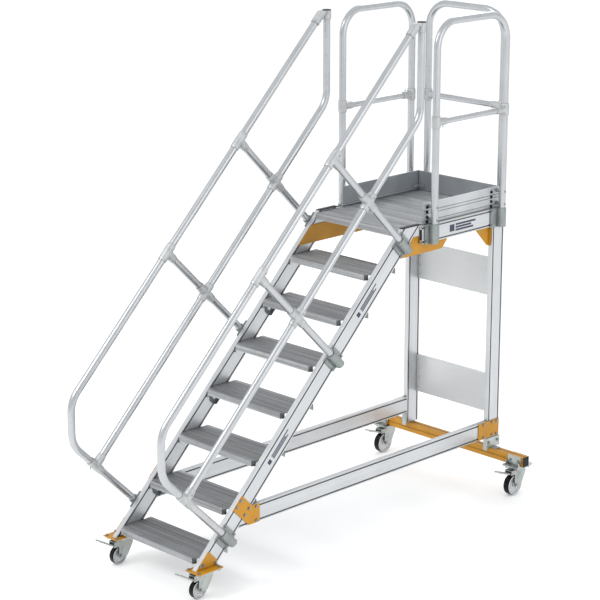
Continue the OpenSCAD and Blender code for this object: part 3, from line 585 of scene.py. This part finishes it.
def nose_ribs(material):
    """Fine grip ribs that run across the front of every tread's and the platform's nose."""
    ribs = 5
    rib_pitch = 0.0052
    rib_h = 0.0022
    rib_out = 0.0009
    first_below = 0.0045
    corner_cuts = {f"step_{i}": 0.024 for i in range(1, 8)}
    corner_cuts["platform_deck"] = 0.014
    bm = bmesh.new()
    for node, cut in corner_cuts.items():
        low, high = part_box(node)
        half = (high.x - low.x) / 2 - cut
        outline = [(-half, -rib_h / 2), (half, -rib_h / 2), (half, rib_h / 2), (-half, rib_h / 2)]
        for k in range(ribs):
            spot = Vector((0, low.y + 0.0001, high.z - first_below - k * rib_pitch))
            prism(bm, outline, rib_out, frame_of(spot, (0, -1, 0), (1, 0, 0)))
    return finish_piece("nose_ribs", mesh_from(bm, "nose_ribs", 20), material, "frame")


# ---- Wheels, forks and pedals ----

def wheel(corner, rim_material, tyre_material):
    """A moulded wheel with stepped rings on its faces and a crowned rubber tread."""
    low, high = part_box(corner + "_tyre")
    centre = (low + high) / 2
    radius = (high.z - low.z) / 2
    half = (high.x - low.x) / 2
    body = corner + "_wheel_body"
    axis = frame_of(centre, (1, 0, 0), (0, 1, 0))
    bore = 0.0052
    seat = 0.9 * radius - 0.0002
    lip = 0.945 * radius
    face = [(bore, half + 0.0006), (0.205 * radius, half + 0.0006), (0.225 * radius, half - 0.0008),
            (0.275 * radius, half - 0.0016), (0.29 * radius, half - 0.0075), (0.43 * radius, half - 0.0085),
            (0.445 * radius, half - 0.0068), (0.475 * radius, half - 0.0068), (0.49 * radius, half - 0.0085),
            (0.66 * radius, half - 0.0075), (0.675 * radius, half - 0.0056), (0.715 * radius, half - 0.0056),
            (0.73 * radius, half - 0.0070), (0.80 * radius, half - 0.0052), (0.835 * radius, half - 0.0008),
            (0.86 * radius, half + 0.0005), (lip, half + 0.0005), (lip, half + 0.0001), (seat, half + 0.0001)]
    outline = face + [(r, -h) for r, h in reversed(face)]
    bm = bmesh.new()
    lathe(bm, outline, axis, 96)
    rim_mesh = mesh_from(bm, corner + "_wheel_rim", 28)
    rim = finish_piece(corner + "_wheel_rim", rim_mesh, rim_material, body)
    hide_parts(corner + "_rim")

    shoulder = 0.0055
    arc = [(radius - shoulder + shoulder * math.sin(a), half - shoulder + shoulder * math.cos(a))
           for a in [math.pi / 2 * i / 6 for i in range(7)]]
    outer = [(0.9 * radius, half), *arc]
    tread = outer + [(radius, 0.004), (radius, -0.004)] + [(r, -h) for r, h in reversed(outer)]
    bm = bmesh.new()
    lathe(bm, tread, axis, 128)
    tread_mesh = mesh_from(bm, corner + "_tread", 50)
    tyre = finish_piece(corner + "_tread", tread_mesh, tyre_material, body)
    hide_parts(corner + "_tyre")

    bm = bmesh.new()
    pips = 8
    pip_circle = 0.57 * radius
    for side in (-1, 1):
        for k in range(pips):
            angle = 2 * math.pi * (k + 0.5) / pips
            reach = Vector((0, math.cos(angle), math.sin(angle))) * pip_circle
            spot = centre + reach + Vector((side * (half - 0.0084), 0, 0))
            prism(bm, circle(0.055 * radius, 20), 0.0016, frame_of(spot, (side, 0, 0)))
    finish_piece(corner + "_hub_pips", mesh_from(bm, corner + "_hub_pips"), rim_material, body)


def pedal_grip(corner, material):
    """Raised bars across a brake pedal's tread, and a rolled rib down its middle."""
    joint = next(j for j in frame["joints"] if j["name"] == corner + "_brake")
    hinge = Vector(joint["pos_m"])
    pedal_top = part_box(corner + "_pedal")[1].z
    plate = 0.0015
    length = 0.118
    bar_out = 0.0011
    bars = 7
    bar_pitch = 0.0085
    angle = math.asin((pedal_top - hinge.z - plate) / length)
    out = Vector((0, -math.cos(angle), math.sin(angle)))
    up = Vector((0, math.sin(angle), math.cos(angle)))
    on_plate = up * (plate - 0.0001)
    bm = bmesh.new()
    for k in range(bars):
        spot = hinge + out * (length - 0.008 - k * bar_pitch) + on_plate
        prism(bm, rectangle(0.030, 0.0036, 0.0012), bar_out, frame_of(spot, up, (1, 0, 0)))
    middle = hinge + out * 0.035 + on_plate
    prism(bm, rectangle(0.009, 0.032, 0.004), bar_out, frame_of(middle, up, (1, 0, 0)))
    finish_piece(corner + "_pedal_grip", mesh_from(bm, corner + "_pedal_grip", 30), material,
                 corner + "_pedal_body")


def fork_trim(corner, material):
    """Pin heads at the pedal's hinge and a pressed rib on each side plate of the fork."""
    joint = next(j for j in frame["joints"] if j["name"] == corner + "_brake")
    hinge = Vector(joint["pos_m"])
    low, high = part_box(corner + "_fork")
    centre_x = (low.x + high.x) / 2
    wheel_low, wheel_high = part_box(corner + "_tyre")
    axle = (wheel_low + wheel_high) / 2
    plate_half = 0.022 if corner.startswith("front") else 0.025
    sunk = 0.0001
    rib_w = 0.012
    rib_out = 0.0011
    bm = bmesh.new()
    for side in (-1, 1):
        x = centre_x + side * (plate_half - sunk)
        outward = (side, 0, 0)
        prism(bm, circle(0.0052, 24), 0.0016, frame_of(Vector((x, hinge.y, hinge.z)), outward))
        top = Vector((x, axle.y + 0.036, high.z - 0.022))
        foot = Vector((x, axle.y + 0.010, axle.z + 0.024))
        run = foot - top
        rib_at = frame_of((top + foot) / 2, outward, run.cross(Vector((1, 0, 0))))
        prism(bm, rectangle(rib_w, run.length, 0.0055), rib_out, rib_at)
    finish_piece(corner + "_fork_trim", mesh_from(bm, corner + "_fork_trim", 30), material,
                 corner + "_fork_body")


# ---- Marks ----

def stringer_mark(name, y, length, width, material):
    """A plain mark on the outer face of the right stringer, centred at y."""
    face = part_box("stringer_right")[1].x
    spot = Vector((face, y, y + stringer_centre_offset()))
    plain_mark(name, frame_of(spot, (1, 0, 0), Vector((0, 1, 1)).normalized()), length, width, material)


def stringer_centre_offset():
    """z minus y on the stringers' centre line."""
    offsets = [v.co.z - v.co.y for v in frame["nodes"]["stringer_right"].data.vertices]
    return (min(offsets) + max(offsets)) / 2


def plain_mark(name, matrix, length, width, material):
    """A square and three bars, printed flat on the metal."""
    bm = bmesh.new()
    film = 0.0003
    square_at = Matrix.Translation((-0.42 * length, 0, 0))
    prism(bm, rectangle(0.7 * width, 0.7 * width, 0.002), film, matrix @ square_at)
    for k, share in enumerate((0.7, 0.55, 0.62)):
        row_at = Matrix.Translation(((share - 0.6) * length / 2, (1 - k) * width * 0.28, 0))
        prism(bm, rectangle(share * length, 0.19 * width, 0.0008), film, matrix @ row_at)
    finish_piece(name, mesh_from(bm, name), material, "frame")


# ---- The stair ----

def paint(node, material):
    slots = frame["nodes"][node].data.materials
    slots.clear()
    slots.append(material)


profile_slope = extruded("profile_slope", SLOPE, ALONG_Y)
profile_x = extruded("profile_x", LEVEL, ALONG_X)
profile_y = extruded("profile_y", LEVEL, ALONG_Y)
profile_z = extruded("profile_z", LEVEL, ALONG_Z)
tube_finish = {"colour": (0.56, 0.575, 0.59), "metallic": 0.9, "roughness": 0.26}
tube_slope = extruded("tube_slope", SLOPE, ALONG_Y, **tube_finish)
tube_square = extruded("tube_square", SLOPE, ALONG_Z, **tube_finish)
tube_z = extruded("tube_z", LEVEL, ALONG_Z, **tube_finish)
tube_level = extruded("tube_level", LEVEL, ALONG_XY, **tube_finish)
tread = ribbed_tread()
boards = toe_board()
orange = powder_coat()
casting = cast_alloy()
silver_casting = cast_alloy("silver_casting", (0.56, 0.575, 0.58))
zinc = zinc_plate()
fork_zinc = zinc_plate("fork_zinc", (0.50, 0.52, 0.515))
strap = painted_strap()
black_plastic = moulded("black_plastic", (0.010, 0.010, 0.011), 0.42, shine=0.25)
tyre_rubber = moulded("rubber_tread", (0.004, 0.004, 0.005), 0.28, 0.00004, shine=0.15)
rim_grey = moulded("wheel_rim", (0.60, 0.61, 0.62), 0.2, 0.00003, metallic=0.75)
bolt = dark_bolt()
sheet = sheet_metal()
mark = printed_mark()

PAINTED = {
    tube_slope: ["handrail_left", "handrail_right", "knee_rails"],
    tube_square: ["rail_struts"],
    tube_z: ["hoop_left", "hoop_right", "hoop_rear"],
    tube_level: ["hoop_midrails"],
    bolt: ["frame_bolts"] + [corner + "_axle" for corner in CORNERS],
}
for material, nodes in PAINTED.items():
    for node in nodes:
        paint(node, material)

# Node, edge radius, material, slot
ROUNDED = [
    ("stringer_left", 0.0007, profile_slope, "anodised_profile"),
    ("stringer_right", 0.0007, profile_slope, "anodised_profile"),
    ("platform_beam_left", 0.0007, profile_y, "anodised_profile"),
    ("platform_beam_right", 0.0007, profile_y, "anodised_profile"),
    ("platform_beam_rear", 0.0007, profile_x, "anodised_profile"),
    ("base_rail_left", 0.0007, profile_y, "anodised_profile"),
    ("base_rail_right", 0.0007, profile_y, "anodised_profile"),
    ("rear_leg_left", 0.0007, profile_z, "anodised_profile"),
    ("rear_leg_right", 0.0007, profile_z, "anodised_profile"),
    ("platform_deck", 0.0004, tread, "ribbed_tread"),
    ("toe_boards", 0.0007, boards, "toe_board"),
    ("crossbeam", 0.0015, orange, "orange_coat"),
    ("rear_panels", 0.0005, sheet, "sheet_aluminium"),
    ("step_braces", 0.0008, strap, "dark_strap"),
    ("base_plates", 0.0009, orange, "orange_coat"),
    ("platform_plates", 0.0009, orange, "orange_coat"),
    ("front_caster_brackets", 0.0009, orange, "orange_coat"),
    ("crossbeam_brackets", 0.0009, zinc, "zinc_steel"),
    ("rail_castings", 0.0009, silver_casting, "cast_alloy"),
    ("rail_clamps", 0.0012, casting, "cast_alloy"),
    ("post_clamps", 0.0012, casting, "cast_alloy"),
    ("end_caps", 0.0012, black_plastic, "black_plastic"),
    ("caster_plates", 0.0009, zinc, "zinc_steel"),
]
ROUNDED += [(f"step_{i}", 0.0004, tread, "ribbed_tread") for i in range(1, 8)]
for node, width, material, slot in ROUNDED:
    rounded_copy(node, width, material, segments=1 if width < 0.0006 else 2)

for corner in CORNERS:
    rounded_copy(corner + "_fork", 0.0012, fork_zinc, corner + "_fork_body")
    rounded_copy(corner + "_pedal", 0.0006, fork_zinc, corner + "_pedal_body")
    wheel(corner, rim_grey, tyre_rubber)
    pedal_grip(corner, fork_zinc)
    fork_trim(corner, fork_zinc)

nose_ribs(tread)
screws_on_castings(bolt)
rivets_on_panels(zinc)
caster_bolts(bolt)
# Near-black bolt columns that stand in for painted shade behind the rail posts.
board_shade_bolts(black_plastic)

stringer_mark("upper_mark", 0.170, 0.24, 0.036, mark)
stringer_mark("middle_mark", -0.487, 0.24, 0.036, mark)
beam_low, beam_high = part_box("platform_beam_right")
beam_spot = Vector((beam_high.x, (beam_low.y + beam_high.y) / 2, (beam_low.z + beam_high.z) / 2))
plain_mark("beam_mark", frame_of(beam_spot, (1, 0, 0), (0, 1, 0)), 0.24, 0.056, mark)


# ---- Stage ----

def stage_floor():
    half_size = 90.0
    bm = bmesh.new()
    spots = [(x * half_size, y * half_size) for x, y in ((-1, -1), (1, -1), (1, 1), (-1, 1))]
    bm.faces.new([bm.verts.new((x, y, cad_low.z - 0.0005)) for x, y in spots])
    mesh = bpy.data.meshes.new("floor")
    bm.to_mesh(mesh)
    bm.free()
    floor = bpy.data.objects.new("floor", mesh)
    bpy.context.scene.collection.objects.link(floor)
    mesh.materials.append(floor_paper())


def area_light(name, location, aim, size, power):
    light = bpy.data.lights.new(name, "AREA")
    light.shape = "RECTANGLE"
    light.size, light.size_y = size
    light.energy = power
    lamp = bpy.data.objects.new(name, light)
    bpy.context.scene.collection.objects.link(lamp)
    lamp.location = location
    lamp.rotation_euler = (Vector(aim) - Vector(location)).to_track_quat("-Z", "Y").to_euler()


def studio():
    world = bpy.data.worlds.new("studio")
    bpy.context.scene.world = world
    world.use_nodes = True
    background = world.node_tree.nodes["Background"]
    background.inputs["Color"].default_value = (0.97, 0.985, 1.0, 1)
    background.inputs["Strength"].default_value = 0.88
    bpy.context.scene.view_settings.view_transform = "Standard"
    middle = (cad_low + cad_high) / 2
    area_light("key", middle + Vector((-1.5, -6.0, 5.5)), middle, (3.0, 3.0), 230)
    area_light("side", middle + Vector((7.0, 1.0, 2.5)), middle, (3.0, 4.0), 60)
    area_light("back", middle + Vector((-3.0, 6.0, 4.5)), middle, (3.0, 3.0), 70)


def camera():
    azimuth = math.radians(CAMERA_AZIMUTH)
    elevation = math.radians(CAMERA_ELEVATION)
    back = Vector((math.sin(azimuth) * math.cos(elevation), -math.cos(azimuth) * math.cos(elevation),
                   math.sin(elevation)))
    data = bpy.data.cameras.new("camera")
    data.lens = CAMERA_LENS
    data.sensor_width = 36
    data.shift_x, data.shift_y = CAMERA_SHIFT
    data.clip_end = 250  # past the far edge of the floor
    eye = bpy.data.objects.new("camera", data)
    bpy.context.scene.collection.objects.link(eye)
    eye.location = (cad_low + cad_high) / 2 + CAMERA_AIM + back * CAMERA_DISTANCE
    eye.rotation_euler = (math.pi / 2 - elevation, 0, azimuth)
    bpy.context.scene.camera = eye


stage_floor()
studio()
camera()
